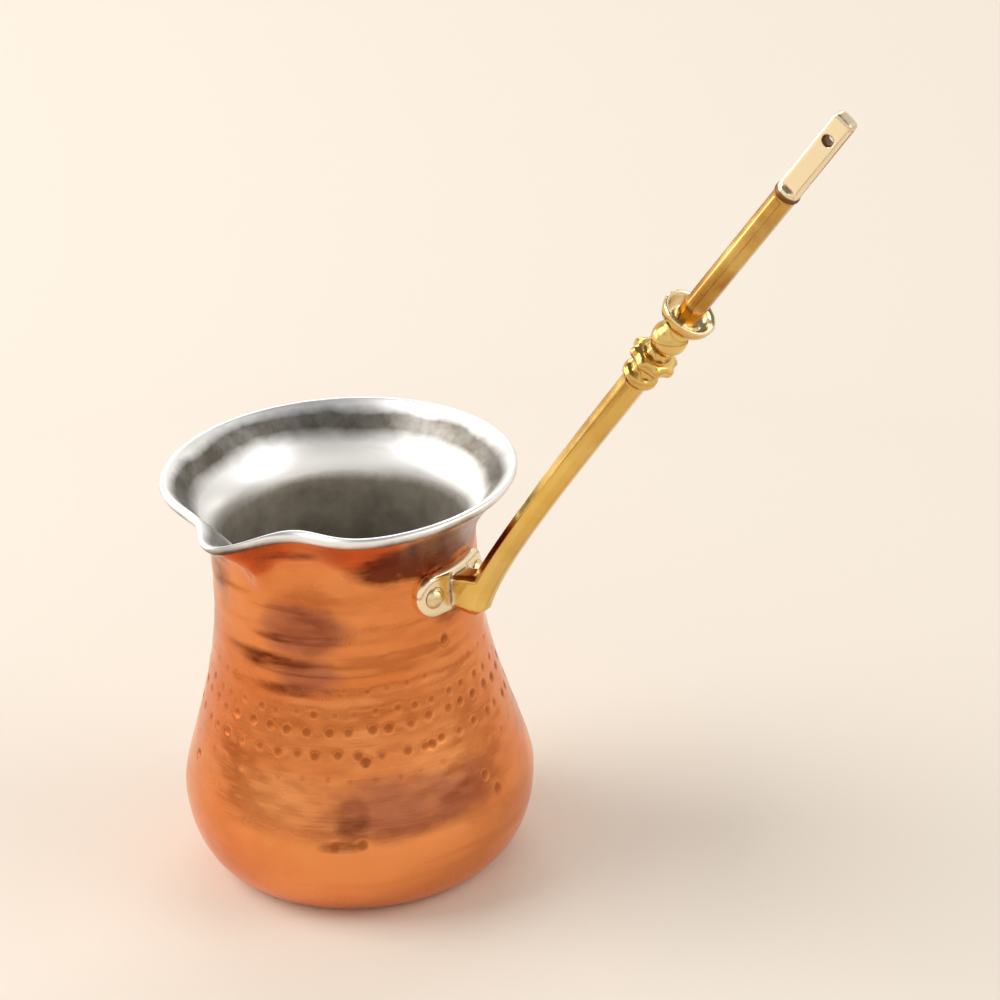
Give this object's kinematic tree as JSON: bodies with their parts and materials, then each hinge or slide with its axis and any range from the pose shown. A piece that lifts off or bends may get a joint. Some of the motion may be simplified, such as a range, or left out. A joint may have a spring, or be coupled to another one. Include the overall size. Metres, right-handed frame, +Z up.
{
  "type": "cezve coffee pot",
  "caption": "Small copper coffee pot (cezve): hammered, waisted body with a flared rim and pinched pouring lip, tinned inside, and a long rising brass handle riveted to the neck.",
  "frame": {"origin": "centre of the underside of the flat base", "axes": "+Z up along the pot's axis, +X out under the handle, -Y towards the pouring lip"},
  "size_m": [0.1501, 0.0749, 0.1735],
  "materials": {
    "copper": "polished copper, hand-hammered, with punched dots",
    "tin": "hand-wiped tin, satin",
    "brass": "cast and polished brass",
    "brass_rivet": "hammered brass rivet"
  },
  "bodies": {
    "root": {"pot_body": "copper", "tin_lining": "tin", "handle": "brass", "rivet_left": "brass_rivet", "rivet_right": "brass_rivet"}
  },
  "joints": []
}
